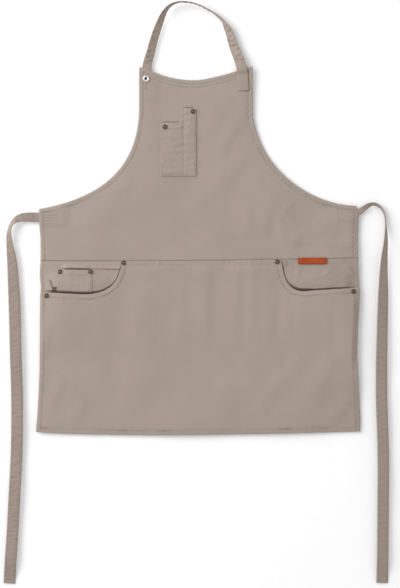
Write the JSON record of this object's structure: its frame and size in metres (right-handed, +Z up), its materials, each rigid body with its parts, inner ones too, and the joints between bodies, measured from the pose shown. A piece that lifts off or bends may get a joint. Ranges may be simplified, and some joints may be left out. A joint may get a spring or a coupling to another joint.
{
  "type": "kitchen apron",
  "caption": "Cotton bib apron laid flat, with a buttoned neck strap, waist ties, scooped hip pockets, a coin pocket, a stepped pen pocket, rivets and a plain leather tag.",
  "frame": {"origin": "middle of the apron's box, on the surface that it lies on", "axes": "+Z up from the surface, +Y from the hem towards the neck, +X to the right as seen from above"},
  "size_m": [0.8326, 1.2591, 0.0256],
  "materials": {
    "cotton": "washed cotton twill, matte",
    "strap_cotton": "folded and stitched cotton, matte",
    "rivet_metal": "darkened antique finish",
    "button_metal": "pale satin metal",
    "leather": "smooth vegetable-tanned leather"
  },
  "bodies": {
    "root": {"bib_panel": "cotton", "skirt_panel": "cotton", "hip_pocket_back_left": "cotton", "hip_pocket_back_right": "cotton", "coin_pocket": "cotton", "pen_pocket": "cotton", "neck_strap": "strap_cotton", "waist_tie_left": "strap_cotton", "waist_tie_right": "strap_cotton", "neck_button": "button_metal", "rivet_hip_left_inner": "rivet_metal", "rivet_hip_left_outer": "rivet_metal", "rivet_hip_right_inner": "rivet_metal", "rivet_hip_right_outer": "rivet_metal", "rivet_coin_left": "rivet_metal", "rivet_coin_right": "rivet_metal", "rivet_pen_left": "rivet_metal", "rivet_pen_right": "rivet_metal", "leather_tag": "leather"}
  },
  "joints": []
}
